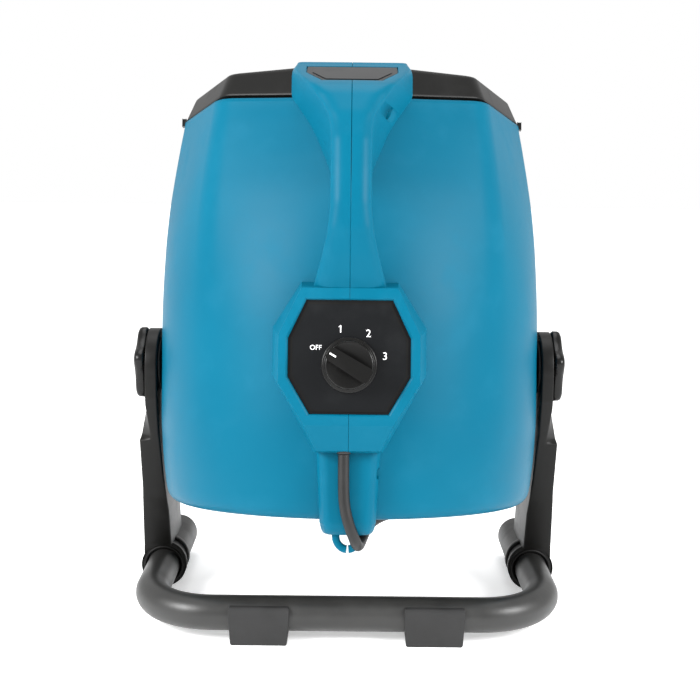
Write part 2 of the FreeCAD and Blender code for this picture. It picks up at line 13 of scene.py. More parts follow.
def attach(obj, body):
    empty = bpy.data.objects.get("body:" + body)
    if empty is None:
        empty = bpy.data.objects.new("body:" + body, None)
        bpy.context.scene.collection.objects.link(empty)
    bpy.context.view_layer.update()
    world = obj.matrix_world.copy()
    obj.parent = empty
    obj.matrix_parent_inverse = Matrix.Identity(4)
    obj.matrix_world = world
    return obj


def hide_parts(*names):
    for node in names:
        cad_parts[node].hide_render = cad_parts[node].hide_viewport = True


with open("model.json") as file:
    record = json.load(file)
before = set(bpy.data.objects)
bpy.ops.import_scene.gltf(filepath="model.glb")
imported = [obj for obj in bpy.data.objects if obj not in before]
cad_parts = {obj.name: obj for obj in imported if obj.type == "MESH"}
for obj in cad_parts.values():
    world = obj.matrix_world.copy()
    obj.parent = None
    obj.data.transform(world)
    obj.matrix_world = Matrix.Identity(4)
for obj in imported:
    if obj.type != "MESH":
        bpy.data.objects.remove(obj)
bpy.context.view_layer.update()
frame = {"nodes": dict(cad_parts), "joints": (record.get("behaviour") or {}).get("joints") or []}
joints = {joint["name"]: joint for joint in frame["joints"]}
PIVOT = np.array(joints["head_tilt"]["pos_m"]) * 1000
ALONG = np.array(joints["impeller_spin"]["axis"])
ALONG = ALONG / np.linalg.norm(ALONG)
OUT = np.array([0, -ALONG[2], ALONG[1]])
ACROSS = np.array([1.0, 0, 0])

CORD_D = 7.2                       # thickness of the mains cord
COIL = np.array([0, -60])          # middle of the tied coil, x and n
COIL_R = 41.0                      # radius of its innermost turn
COIL_STEP = 7.3                    # how far apart neighbouring turns lie
SEAM = 0.10                        # half the gap between the two handle shells
OUTLET_W = 183                     # where the drum ends and the outlet ring begins
INLET_W = -90                      # where the rolled rear rim begins
DRUM_WALL = 3.2
DIP = 4.6                          # depth of the outlet seam's dip at the handle
PLATE_N = 169.2                    # how far out the label plate's face lies
DIAL_TURN = 149                    # direction of the dial's bar at OFF, in degrees from x
EYE_R = 27.0                       # radius of the eye at the top of a side arm
FOOT_X = 62.0                      # how far the clip feet sit from the middle


# ------------------------------------------------------------------ shader maths
class Sock:
    """A socket that takes Python arithmetic; each operation adds one Math node."""

    def __init__(self, maker, socket):
        self.maker, self.socket = maker, socket

    def math(self, operation, *values):
        """One Math node on the values."""
        return self.maker.node("ShaderNodeMath", {"operation": operation}, dict(enumerate(values)))[0]

    def __add__(self, other): return self.math("ADD", self, other)
    def __radd__(self, other): return self.math("ADD", other, self)
    def __sub__(self, other): return self.math("SUBTRACT", self, other)
    def __rsub__(self, other): return self.math("SUBTRACT", other, self)
    def __mul__(self, other): return self.math("MULTIPLY", self, other)
    def __rmul__(self, other): return self.math("MULTIPLY", other, self)


class Maker:
    """One procedural material on a Principled shader."""

    def __init__(self, name):
        self.material = bpy.data.materials.new(name)
        self.material.use_nodes = True
        self.nodes = self.material.node_tree.nodes
        self.links = self.material.node_tree.links
        self.shader = self.nodes["Principled BSDF"]
        self.place = self.node("ShaderNodeTexCoord", {}, {})[3]

    def put(self, socket, value):
        """Link a socket to another one, or set its value."""
        if isinstance(value, Sock):
            self.links.new(value.socket, socket)
        else:
            socket.default_value = value

    def node(self, kind, settings, inputs):
        """Add a node: its settings first, then its sockets. Gives its outputs."""
        node = self.nodes.new(kind)
        for name, value in settings.items():
            if name == "stops":
                ramp = node.color_ramp.elements
                for stop, (spot, colour) in zip(ramp, value):
                    stop.position, stop.color = spot, colour
            else:
                setattr(node, name, value)
        for name, value in inputs.items():
            self.put(node.inputs[name], value)
        return [Sock(self, output) for output in node.outputs]

    def noise(self, scale, detail=3.0, roughness=0.5):
        """Noise over the piece's own coordinates."""
        return self.node("ShaderNodeTexNoise", {}, {
            "Vector": self.place, "Scale": scale, "Detail": detail, "Roughness": roughness})[0]

    def fade(self, value, low, high, start=0.0, stop=1.0):
        """The value's stretch from low to high carried to start to stop, held outside it."""
        return self.node("ShaderNodeMapRange", {}, {
            "Value": value, "From Min": low, "From Max": high, "To Min": start, "To Max": stop})[0]

    def mix(self, factor, first, second):
        """The first colour going over to the second by the factor."""
        return self.node("ShaderNodeMix", {"data_type": "RGBA"}, {0: factor, 6: first, 7: second})[2]

    def finish(self, colour, roughness, height=None, strength=0.1, distance=0.0003, **steady):
        """Feed the shader: colour, roughness and a bump from height; steady values go on its own sockets."""
        self.put(self.shader.inputs["Base Color"], colour)
        self.put(self.shader.inputs["Roughness"], roughness)
        if height is not None:
            bump = self.node("ShaderNodeBump", {}, {
                "Height": height, "Strength": strength, "Distance": distance})
            self.links.new(bump[0].socket, self.shader.inputs["Normal"])
        for name, value in steady.items():
            self.shader.inputs[name.replace("_", " ")].default_value = value
        return self.material


def tone(r, g, b):
    """An opaque colour."""
    return (r, g, b, 1.0)


def moulded(name, dark, light, rough=(0.40, 0.50), grain=2600.0, depth=0.16, **steady):
    """Moulded plastic: a spark-eroded grain, cloudy tone and faint rubbed patches."""
    make = Maker(name)
    cloud = make.noise(9.0, 4.0, 0.55)
    rub = make.fade(make.noise(38.0, 5.0, 0.6), 0.52, 0.72)
    colour = make.mix(make.fade(cloud, 0.3, 0.7), tone(*dark), tone(*light))
    worn = make.mix(rub * 0.10, colour, tone(*(min(1.0, c * 1.5 + 0.02) for c in light)))
    fine = make.noise(grain, 2.0, 0.6)
    dullness = make.fade(cloud * 0.6 + rub * 0.4, 0.2, 0.8, *rough)
    return make.finish(worn, dullness, fine, depth, 0.00012, **steady)


def coated(name):
    """Powder coat on tube: orange peel with a fine sparkle of rough and smooth."""
    make = Maker(name)
    peel = make.noise(420.0, 3.0, 0.5)
    dust = make.noise(30.0, 5.0, 0.6)
    colour = make.mix(make.fade(dust, 0.35, 0.7), tone(0.0120, 0.0120, 0.0115),
                      tone(0.0190, 0.0190, 0.0180))
    return make.finish(colour, make.fade(dust, 0.3, 0.7, 0.36, 0.48), peel, 0.22, 0.0003,
                       Specular_IOR_Level=0.45)


def rubbery(name, low, high, rough=(0.62, 0.78)):
    """Dull rubber with pits and a dusty bloom."""
    make = Maker(name)
    bloom = make.noise(55.0, 5.0, 0.65)
    pits = make.noise(1500.0, 3.0, 0.6)
    colour = make.mix(make.fade(bloom, 0.35, 0.7), tone(low, low, low), tone(high, high, high * 1.01))
    return make.finish(colour, make.fade(bloom, 0.3, 0.7, *rough), pits, 0.3, 0.0002,
                       Specular_IOR_Level=0.3)


def metal(name, dark, light, rough=(0.25, 0.42), scale=300.0):
    """Bare metal: bright with fine scratches and patchy dulling."""
    make = Maker(name)
    dull = make.noise(60.0, 4.0, 0.6)
    scratch = make.noise(scale, 6.0, 0.75)
    colour = make.mix(make.fade(dull, 0.3, 0.7), tone(*dark), tone(*light))
    return make.finish(colour, make.fade(scratch, 0.3, 0.7, *rough), scratch, 0.1, 0.0001, Metallic=1.0)


BLUE = moulded("blue_moulded_plastic", (0.0, 0.080, 0.136), (0.0001, 0.089, 0.149), (0.38, 0.48),
               Specular_IOR_Level=0.06)
BLACK = moulded("black_moulded_plastic", (0.0024, 0.0024, 0.0021), (0.0040, 0.0038, 0.0034),
                (0.40, 0.52), Specular_IOR_Level=0.17)
PANEL = moulded("label_panel_black", (0.0026, 0.0030, 0.0036), (0.0040, 0.0045, 0.0052), (0.32, 0.40),
                900.0, 0.05, Specular_IOR_Level=0.14)
DIAL = moulded("dial_black", (0.0016, 0.0016, 0.0015), (0.0028, 0.0027, 0.0025), (0.26, 0.36),
               1800.0, 0.06, Specular_IOR_Level=0.20)
TUBE = coated("black_powder_coat")
RUBBER = rubbery("grey_black_rubber", 0.014, 0.021)
JACKET = rubbery("cord_jacket", 0.0050, 0.0085, (0.42, 0.55))
STEEL = metal("zinc_plated_steel", (0.42, 0.42, 0.44), (0.62, 0.62, 0.63))
DARK_STEEL = metal("blackened_steel", (0.05, 0.05, 0.052), (0.09, 0.09, 0.092), (0.35, 0.5))
CAST = metal("cast_aluminium", (0.50, 0.51, 0.52), (0.68, 0.69, 0.70), (0.38, 0.55), 180.0)
LAMINATED = metal("laminated_core", (0.16, 0.13, 0.11), (0.24, 0.21, 0.19), (0.45, 0.6))
BRASS = metal("nickelled_brass", (0.60, 0.50, 0.32), (0.74, 0.66, 0.50))
MOTOR = moulded("motor_enamel", (0.040, 0.041, 0.044), (0.060, 0.061, 0.064), (0.34, 0.46), 700.0)
PRINT = moulded("white_print", (0.80, 0.80, 0.80), (0.86, 0.86, 0.86), (0.45, 0.55))


# ------------------------------------------------------------------ mesh work
def head(x, n, w):
    """Points of the head from x, n and w."""
    x, n, w = np.broadcast_arrays(*(np.asarray(v, float) for v in (x, n, w)))
    return PIVOT + x[..., None] * ACROSS + n[..., None] * OUT + w[..., None] * ALONG


def soft_step(keys, at, reach):
    """A line through key points, its corners rounded by averaging over the reach each way."""
    spots, values = np.array(keys, float).T
    order = np.argsort(spots)
    shifts = np.linspace(-reach, reach, 13)
    return np.mean([np.interp(at + d, spots[order], values[order]) for d in shifts], axis=0)


def grid_faces(rows, columns, wrap_rows, wrap_columns):
    """Quads of a grid of points, with the last row or column joined to the first where it wraps."""
    r = np.arange(rows if wrap_rows else rows - 1)[:, None]
    c = np.arange(columns if wrap_columns else columns - 1)[None, :]
    r2, c2 = (r + 1) % rows, (c + 1) % columns
    quads = np.stack([r * columns + c, r * columns + c2, r2 * columns + c2, r2 * columns + c], axis=-1)
    return quads.reshape(-1, 4)


def make_piece(name, parts, material, body, replaces=()):
    """One object from lists of (points, faces) in millimetres; ridden, replaced and coloured."""
    points, faces, start = [], [], 0
    for spots, polygons in parts:
        points.append(np.asarray(spots, float).reshape(-1, 3) / 1000)
        faces += [tuple(int(i) + start for i in face) for face in polygons]
        start += len(points[-1])
    mesh = bpy.data.meshes.new(name)
    mesh.from_pydata(np.concatenate(points).tolist(), [], faces)
    mesh.materials.append(material)
    mesh.shade_smooth()
    piece = bpy.data.objects.new(name, mesh)
    bpy.context.scene.collection.objects.link(piece)
    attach(piece, body)
    if replaces:
        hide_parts(*replaces)
    return piece


def signed_volume(spots, triangles):
    """Six times the volume that triangles of the points close in: negative where they face inwards."""
    a, b, c = spots[np.asarray(triangles).T]
    return np.einsum("ij,ij->", a, np.cross(b, c))


def skin(grid, wrap_rows=False):
    """A grid of points as a closed surface; open ends are closed by a fan about their middle."""
    rows, columns = grid.shape[:2]
    spots = grid.reshape(-1, 3)
    quads = grid_faces(rows, columns, wrap_rows, True)
    triangles = np.concatenate([quads[:, :3], quads[:, [0, 2, 3]]])
    faces = quads.tolist()
    if not wrap_rows:
        spots = np.concatenate([spots, [grid[0].mean(axis=0), grid[-1].mean(axis=0)]])
        low, high, last = rows * columns, rows * columns + 1, (rows - 1) * columns
        here = np.arange(columns)
        after = (here + 1) % columns
        fans = np.stack([np.stack([np.full(columns, low), after, here], axis=-1),
                         np.stack([np.full(columns, high), last + here, last + after], axis=-1)], axis=1)
        fans = fans.reshape(-1, 3)
        faces += fans.tolist()
        triangles = np.concatenate([triangles, fans])
    if signed_volume(spots, triangles) < 0:
        faces = [face[::-1] for face in faces]
    return spots, faces


def rounded(corners, radii, steps=5):
    """A polyline with each inner corner replaced by a curve that starts its radius before the corner.

    corners is a list of (rows, 2) arrays; the curve is a quadratic between its two ends.
    """
    line = [corners[0]]
    for before, here, after, radius in zip(corners, corners[1:], corners[2:], radii):
        if radius == 0:
            line.append(here)
            continue
        back, ahead = before - here, after - here
        back_share = np.minimum(radius / np.maximum(np.linalg.norm(back, axis=-1), 1e-6), 0.5)
        ahead_share = np.minimum(radius / np.maximum(np.linalg.norm(ahead, axis=-1), 1e-6), 0.5)
        a = here + back * back_share[:, None]
        b = here + ahead * ahead_share[:, None]
        for t in np.linspace(0, 1, steps):
            line.append((1 - t) ** 2 * a + 2 * t * (1 - t) * here + t * t * b)
    line.append(corners[-1])
    return np.stack(line, axis=1)


def turned(profile, place, along, first, steps=96):
    """A closed profile of (radius, height) turned about an axis through place."""
    radius, height = np.array(profile, float).T
    angle = np.linspace(0, 2 * math.pi, steps, endpoint=False)
    second = np.cross(along, first)
    ring = np.cos(angle)[:, None] * first + np.sin(angle)[:, None] * second
    grid = place + radius[:, None, None] * ring[None] + height[:, None, None] * along
    return skin(grid, wrap_rows=True)


def arc(centre_r, centre_h, radius, start, stop, steps=7):
    """Points of a profile's round edge, angles in degrees."""
    angle = np.radians(np.linspace(start, stop, steps))
    return [(centre_r + radius * math.cos(a), centre_h + radius * math.sin(a)) for a in angle]


def swept(path, half_a, half_b, side, corner=0.8, sections=24):
    """A rounded bar along a path: half_a is its half width along side, half_b its half width across."""
    path = np.asarray(path, float)
    heading = np.gradient(path, axis=0)
    heading /= np.linalg.norm(heading, axis=1)[:, None]
    across = np.cross(heading, side)
    across /= np.linalg.norm(across, axis=1)[:, None]
    angle = np.linspace(0, 2 * math.pi, sections, endpoint=False)
    u = np.sign(np.cos(angle)) * np.abs(np.cos(angle)) ** corner * half_a
    v = np.sign(np.sin(angle)) * np.abs(np.sin(angle)) ** corner * half_b
    grid = path[:, None] + u[None, :, None] * side + v[None, :, None] * across[:, None]
    return skin(grid)


def prism(outline, low, high, place):
    """An outline of (a, b) pulled from low to high; place turns (a, b, height) into points.

    The two end faces are wound against the side faces.
    """
    a, b = np.array(outline, float).T
    count = len(a)
    spots = np.concatenate([place(a, b, np.full(count, low)), place(a, b, np.full(count, high))])
    here = np.arange(count)
    after = (here + 1) % count
    ends = np.stack([here, here[::-1] + count])
    sides = np.stack([here, after, count + after, count + here], axis=-1)
    fans = [np.stack([np.full(count - 2, end[0]), end[1:-1], end[2:]], axis=-1) for end in ends]
    triangles = np.concatenate(fans + [sides[:, :3], sides[:, [0, 2, 3]]])
    faces = ends.tolist() + sides.tolist()
    if signed_volume(spots, triangles) <= 0:
        faces = [face[::-1] for face in faces]
    return spots, faces


def soften(piece, width, segments=3, angle=25):
    """Round a piece's hard edges and even out its shading."""
    bevel = piece.modifiers.new("edges", "BEVEL")
    bevel.width = width / 1000
    bevel.segments = segments
    bevel.limit_method = "ANGLE"
    bevel.angle_limit = math.radians(angle)
    piece.modifiers.new("shading", "WEIGHTED_NORMAL").keep_sharp = True
    return piece


def carve(piece, cutters):
    """Cut closed shapes out of a piece."""
    for spots, faces in cutters:
        mesh = bpy.data.meshes.new("cutter")
        mesh.from_pydata((spots / 1000).tolist(), [], faces)
        tool = bpy.data.objects.new("cutter", mesh)
        bpy.context.scene.collection.objects.link(tool)
        cut = piece.modifiers.new("recess", "BOOLEAN")
        cut.object, cut.operation, cut.solver = tool, "DIFFERENCE", "EXACT"
        bpy.context.view_layer.update()
        shape = bpy.data.meshes.new_from_object(piece.evaluated_get(bpy.context.evaluated_depsgraph_get()))
        piece.modifiers.remove(cut)
        piece.data = shape
        bpy.data.objects.remove(tool)


# ------------------------------------------------------------------ drum and outlet
VERTEX_R = [(183, 129), (172, 131.4), (145, 135.8), (119, 139.3), (92, 141.4), (65, 142.3), (38, 142.7),
            (-40, 142.1), (-64, 140.4), (-80, 138.7), (-90, 136.8)]
CORNERED = [(183, 1.0), (150, 0.88), (119, 0.66), (92, 0.48), (65, 0.29), (38, 0.15), (-30, 0.12),
            (-102, 0.0)]


def eight_sided(radius, angle, strength, soft=3.0):
    """A radius drawn in between eight corners: strength 1 is an octagon with soft corners, 0 a circle."""
    step = math.pi / 4
    shifts = np.radians(np.linspace(-soft, soft, 9))
    inner = np.mean([np.cos(step / 2) / np.cos(np.mod(angle + d, step) - step / 2) for d in shifts],
                    axis=0)
    return radius * inner ** strength


def dip(angle):
    """How far the seam between drum and outlet ring drops towards the handle and opposite it."""
    return DIP * np.maximum(np.cos(2 * angle), 0) ** 1.2


def drum():
    """The barrel: outer wall, rolled rear rim and inner wall.

    A closed profile of radius and w is carried round the axis; at each angle the radius is drawn in
    between eight corners, fully at the outlet and not at all at the inlet.
    """
    outer_w = np.linspace(OUTLET_W, -88, 110)
    outer_r = soft_step(VERTEX_R, outer_w, 9)
    inner_w = np.linspace(INLET_W, OUTLET_W, 60)
    inner_r = np.minimum(soft_step(VERTEX_R, inner_w, 9) - DRUM_WALL, 132 + (inner_w - INLET_W) * 0.25)
    rim = np.array(arc(125.6, -91, 11, 0, -90, 9))[1:]
    w = np.concatenate([outer_w, rim[:, 1], [-102, -99, -98.4], inner_w])
    r = np.concatenate([outer_r, rim[:, 0], [124.6, 124.5, 127], inner_r])
    strength = soft_step(CORNERED, w, 14)
    angle = np.linspace(0, 2 * math.pi, 320, endpoint=False)
    radius = eight_sided(r[:, None], angle[None], strength[:, None], 4.5)
    seam = w[:, None] - np.clip((w[:, None] - 140) / (OUTLET_W - 140), 0, 1) * dip(angle)
    grid = head(radius * np.sin(angle), radius * np.cos(angle), seam)
    return make_piece("drum", [skin(grid, wrap_rows=True)], BLUE, "head", ["drum_shell"])


def outlet_ring():
    """The eight-sided outlet frame: sloped sides, rounded front edge, flat face and round mouth."""
    profile = [(124.2, 183.2, 1), (124.2, 184.9, 1), (127.0, 185.1, 1), (127.3, 185.7, 1),
               (126.9, 187, 1), (121.2, 199.4, 1), (120.5, 200.8, 1), (119.3, 201.9, 1),
               (117.6, 202.4, 1), (113.5, 202.5, 0.9), (106, 202.5, 0.15),
               (104.4, 202.0, 0), (103.4, 200.8, 0), (103.1, 198, 0), (103.1, 184, 0), (108, 183.5, 0.6)]
    radius, w, strength = np.array(profile, float).T
    angle = np.linspace(0, 2 * math.pi, 320, endpoint=False)
    radius = eight_sided(radius[:, None], angle[None], strength[:, None], 2.5)
    seam = w[:, None] - np.clip((199 - w[:, None]) / 13, 0, 1) * dip(angle)
    grid = head(radius * np.sin(angle), radius * np.cos(angle), seam)
    return make_piece("outlet_ring", [skin(grid, wrap_rows=True)], BLACK, "head", ["front_ring"])


def grille(name, outer, w, rings, bars, hub, sweep, rise, replaces):
    """A guard: round rings and bars that curve round the axis by the sweep and rise towards the middle."""
    angle = np.linspace(0, 2 * math.pi, 144, endpoint=False)
    parts = []
    dome = lambda r: w + rise * (1 - (r / outer) ** 2)
    for r in rings:
        section = np.linspace(0, 2 * math.pi, 10, endpoint=False)
        rr = r + 1.15 * np.cos(section)
        ww = dome(r) + 1.9 * np.sin(section)
        grid = head(rr[:, None] * np.sin(angle), rr[:, None] * np.cos(angle), ww[:, None])
        parts.append(skin(grid, wrap_rows=True))
    reach = np.linspace(hub - 3, outer - 1, 26)
    for i in range(bars):
        turn = 2 * math.pi * i / bars + sweep * (reach - hub) / (outer - hub)
        path = head(reach * np.sin(turn), reach * np.cos(turn), dome(reach) - 0.4)
        parts.append(swept(path, 2.1, 1.25, ALONG, 0.7, 12))
    rim = [(outer - 4, w - 2), (outer - 4, w + 1.6), (outer - 3.4, w + 2), (outer - 0.6, w + 2),
           (outer, w + 1.4), (outer, w - 2)]
    parts.append(turned(rim, PIVOT, ALONG, OUT, 144))
    disc = [(0.01, dome(0) - 2), (0.01, dome(0) + 1.7), (hub - 3, dome(hub) + 1.7),
            (hub - 0.8, dome(hub) + 1.2), (hub, dome(hub)), (hub - 0.4, dome(hub) - 2)]
    parts.append(turned(disc, PIVOT, ALONG, OUT, 96))
    return make_piece(name, parts, BLACK, "head", [replaces])


# ------------------------------------------------------------------ handle and control box
GRIP = {   # key points along w for the carry grip and its foot
    "base": [(202.5, 36.5), (199, 39.8), (195, 41), (178, 41), (168.5, 34.5), (160, 29), (153, 25),
             (144, 21.2), (136, 18), (128, 14.6), (120, 13.1), (98, 13.1), (80, 15.2), (65, 18.7),
             (52, 23.2), (44, 26.5)],
    "ridge": [(202.5, 35.4), (198, 38.4), (193, 37), (187, 33.5), (180, 29), (174, 25), (169, 22),
              (162, 17.4), (154, 13.7), (146, 12.7), (98, 12.6), (80, 14.6), (65, 18), (52, 22.2),
              (44, 25)],
    "top": [(203, 116), (177, 168), (171, 174), (157, 182), (140, 188), (120, 190), (100, 190), (84, 187),
            (68, 181), (54, 173.5), (44, 166)],
    "under": [(203, 108), (140, 128), (126, 134), (122, 150), (117, 170), (108, 172), (74, 172),
              (66, 171), (58, 160), (52, 140), (44, 138)],
    "flat": [(203, 34), (195, 34), (186, 29), (177, 23), (169, 15.5), (160, 10.5), (150, 7.8), (120, 7.4),
             (98, 7.6), (80, 9.4), (65, 12.6), (52, 16.5), (44, 19)],
}


def grip_half(side):
    """One half of the grip and foot: rounded sections stacked along w from the box to the outlet."""
    w = np.linspace(44, 202.8, 230)
    at = {name: soft_step(keys, w, 2.2 if name in ("top", "under") else 3.0)
          for name, keys in GRIP.items()}
    end = np.clip((w - 176) / 8, 0, 1)
    drop = 4.6 * (1 - end) + 1.6 * end
    seam_top = np.stack([np.full_like(w, SEAM), at["top"] - 0.8], -1)
    seam_edge = np.stack([np.full_like(w, SEAM + 0.1), at["top"]], -1)
    flat = np.stack([at["flat"], at["top"] - 0.3], -1)
    ridge = np.stack([at["ridge"], at["top"] - drop], -1)
    low_side = np.stack([at["base"], np.minimum(at["under"] + 5, at["top"] - drop - 2)], -1)
    under_edge = np.stack([at["base"] - 3.5, at["under"]], -1)
    seam_low = np.stack([np.full_like(w, SEAM), at["under"]], -1)
    line = rounded([seam_top, seam_edge, flat, ridge, low_side, under_edge, seam_low],
                   [0.35, 5, 2.2, 3.5, 2.5], 6)
    return skin(head(side * line[..., 0], line[..., 1], w[:, None]))


BOX_LOOPS = [   # half outlines of the control box: (x, w, n) from the top middle round to the bottom middle
    [(0, 40.3, 166), (26.8, 40.3, 166), (38.1, 16.5, 166), (38.1, -7.4, 166), (24.6, -30.4, 166),
     (0, -30.4, 166)],
    [(0, 40.9, 169.4), (27.3, 40.9, 169.4), (38.8, 16.8, 169.4), (38.8, -7.8, 169.4),
     (25.1, -31.2, 169.4), (0, -31.2, 169.4)],
    [(0, 41.8, 170.2), (27.9, 41.8, 170.2), (39.8, 17.2, 170.2), (39.8, -8.2, 170.2),
     (26.0, -32.0, 170.0), (0, -32.0, 170.0)],
    [(0, 48.2, 169.6), (30.3, 48.2, 169.6), (44.5, 18.7, 169.6), (44.5, -11.6, 169.6),
     (28.0, -38.0, 168.4), (0, -38.0, 168.4)],
    [(0, 50.0, 163), (30.6, 50.0, 163), (46.4, 20.0, 163), (46.4, -10.6, 163), (20.4, -54.4, 159.5),
     (0, -54.4, 159.5)],
    [(0, 53.0, 150), (31.0, 53.2, 150), (49.3, 23.8, 150), (49.5, -5.5, 150), (22.0, -55.6, 155.5),
     (0, -55.6, 155.5)],
    [(0, 54.0, 139), (31.4, 54.0, 136), (50.4, 24.2, 128), (50.6, -6.0, 128), (22.6, -56.0, 137),
     (0, -56.0, 139)],
]


def box_half(side):
    """One half of the control box: its outlines joined loop to loop, from the recess out to the drum."""
    loops = np.array(BOX_LOOPS, float)
    loops[:, 0, 0] = SEAM
    loops[:, -1, 0] = SEAM
    grid = head(side * loops[..., 0], loops[..., 2], loops[..., 1])
    rows, columns = grid.shape[:2]
    faces = grid_faces(rows, columns, False, False)
    return grid.reshape(-1, 3), (faces if side > 0 else faces[:, ::-1]).tolist()


def boss_half(side):
    """One half of the cord boss: rounded sections from the box to its end round the rear rim."""
    w = np.concatenate([np.linspace(-50, -100, 26),
                        -100 - 10 * np.sin(np.linspace(0.1, math.pi / 2, 14))])
    end = np.clip((-w - 100) / 10, 0, 1)
    round_off = 1 - np.sqrt(np.maximum(1 - end ** 2, 0))
    half = np.interp(-w, [55, 100], [21.0, 18.5]) - 3.5 * round_off
    top = 150.0 - 9.0 * round_off
    low = np.where(w > -102.2, np.minimum(133.0, top - 6), 126.0)
    seam_top = np.stack([np.full_like(w, SEAM), top - 0.6], -1)
    seam_edge = np.stack([np.full_like(w, SEAM + 0.1), top], -1)
    shoulder = np.stack([half - 3.6, top - 0.4], -1)
    side_low = np.stack([half, np.minimum(low + 8, top - 4)], -1)
    base = np.stack([half, low], -1)
    seam_low = np.stack([np.full_like(w, SEAM), low], -1)
    line = rounded([seam_top, seam_edge, shoulder, side_low, base, seam_low], [0.35, 4.5, 3.0, 1.0], 6)
    return skin(head(side * line[..., 0], line[..., 1], w[:, None]))


def cord_hook(side):
    """Half of the split hook that guides the cord: part of an ellipse that stops short of the slit."""
    start, stop = (170, 265.5) if side < 0 else (300, 275)
    angle = np.radians(np.linspace(start, stop, 30))
    path = head(7.7 * np.cos(angle), np.full(30, 136.9), -111.0 + 8.7 * np.sin(angle))
    return swept(path, 2.9, 2.5, OUT, 0.6, 16)


def bar_along(x0, x1, n, w, radius, steps=40):
    """A round bar along x, used as a cutter."""
    angle = np.linspace(0, 2 * math.pi, steps, endpoint=False)
    grid = head(np.array([x0, x1])[:, None], n + radius * np.cos(angle), w + radius * np.sin(angle))
    return skin(grid)


SCREWS = [(150, 162, 10), (141.5, -70, 14)]     # n, w and the depth along x of each screw head
INSERT = [(29.2, 127), (29, 141.5), (18.6, 160), (-18.6, 160), (-29, 141.5), (-29.2, 127)]


def end_face(x, n, lift):
    """A point of the foot's sloped end face, raised along the face's normal by lift."""
    return head(x, n + lift * 0.447, 203 - 0.5 * (n - 116) + lift * 0.894)


def handle(side, name):
    """A handle shell: the control box as one piece, and the grip and foot, boss and half the hook as
    another.
    """
    box_points, box_faces = box_half(side)
    box = make_piece(name + "_box", [(box_points, box_faces)], BLUE, "head", ())
    wall = box.modifiers.new("wall", "SOLIDIFY")
    wall.thickness = 0.0024
    wall.offset = -1
    soften(box, 1.6, 5, 12)
    grip = make_piece(name, [grip_half(side), boss_half(side), cord_hook(side)], BLUE, "head",
                      ["handle_shell_" + name.split("_")[1]])
    grow = lambda n: 0.7 if n > 150 else -0.7 if n < 128 else 0
    pocket = [(x * 1.02 + math.copysign(0.4, x), n + grow(n)) for x, n in INSERT]
    cutters = [prism(pocket, -1.3, 8, end_face)]
    if side > 0:
        cutters += [bar_along(x, 60, n, w, 3.9) for n, w, x in SCREWS]
    carve(grip, cutters)


def handle_screws():
    """The two cross-head screws at the bottom of the wells in the handle's side."""
    outline = [(0.01, -0.2), (0.7, -0.2), (1.0, 0.5), (2.4, 0.3), (2.9, -0.3), (2.9, -1.6), (0.01, -1.6)]
    parts = [turned(outline, head(x, n, w), ACROSS, ALONG, 32) for n, w, x in SCREWS]
    return make_piece("handle_fixings", parts, DARK_STEEL, "head", ["handle_screws"])


def ring_latches():
    """Two slim latches at the drum's sides that hold the outlet ring."""
    parts = [prism([(-3.5, 181.2), (3.5, 181.2), (3.0, 186.8), (-3.0, 186.8)], 126.6, 129.5,
                   lambda a, b, height, side=side: head(side * height, a, b)) for side in (-1, 1)]
    piece = make_piece("ring_latches", parts, BLACK, "head", ["ring_clips"])
    return soften(piece, 0.4, 2)


def end_insert():
    """The black trapezoid let into the foot's end face, plain, with a raised border."""
    parts = [prism(INSERT, -1.2, -0.3, end_face)]
    inner = [(x * 0.88, 143.5 + (n - 143.5) * 0.86) for x, n in INSERT]
    parts.append(prism(inner, -0.5, 0.1, end_face))
    piece = make_piece("end_insert", parts, PANEL, "head", ["handle_insert"])
    return soften(piece, 0.35, 2)


PANEL_LINE = [(26.7, 40.1), (37.9, 16.4), (37.9, -7.3), (24.5, -30.2), (-24.5, -30.2), (-37.9, -7.3),
              (-37.9, 16.4), (-26.7, 40.1)]


def dial_panel():
    """The black eight-sided panel: a low rim, a polished border standing on it and the matt label plate."""
    place = lambda x, w, n: head(x, n, w)
    scaled = lambda f: [(x * f, 4.8 + (w - 4.8) * f) for x, w in PANEL_LINE]
    layers = [prism(scaled(1.0), 166.6, 168.2, place), prism(scaled(0.925), 168, PLATE_N, place)]
    panel = make_piece("dial_panel", layers, PANEL, "head", ["control_panel"])
    soften(panel, 0.5, 3)
    border = make_piece("panel_border", [prism(scaled(0.96), 168, 169.0, place)], DIAL, "head", ())
    soften(border, 0.9, 4)


def label(text, angle, height, reach):
    """One printed word or number beside the dial."""
    curve = bpy.data.curves.new("mark_" + text, "FONT")
    curve.body, curve.size = text, height / 1000 / 0.70
    curve.align_x, curve.align_y = "CENTER", "CENTER"
    curve.extrude = 0.00006
    word = bpy.data.objects.new("mark_" + text, curve)
    bpy.context.scene.collection.objects.link(word)
    bpy.context.view_layer.update()
    mesh = bpy.data.meshes.new_from_object(word.evaluated_get(bpy.context.evaluated_depsgraph_get()))
    bpy.data.objects.remove(word)
    flat = np.empty(len(mesh.vertices) * 3)
    mesh.vertices.foreach_get("co", flat)
    flat = flat.reshape(-1, 3) * 1000
    turn = math.radians(angle)
    place = lambda a, b, c: head(a + reach * math.cos(turn), PLATE_N + 0.07 + c,
                                 b + reach * math.sin(turn))
    parts = [(place(*flat.T), [tuple(face.vertices) for face in mesh.polygons])]
    if text == "1":                # the letter shape has no flag of its own
        top, left = flat[:, 1].max(), flat[:, 0].min()
        flag = [(left + 0.1, top), (left + 0.1, top - 0.9), (left - 0.95, top - 1.35),
                (left - 0.95, top - 0.8)]
        parts.append(prism(flag, -0.06, 0.06, place))
    return make_piece("mark_" + text, parts, PRINT, "head", ())


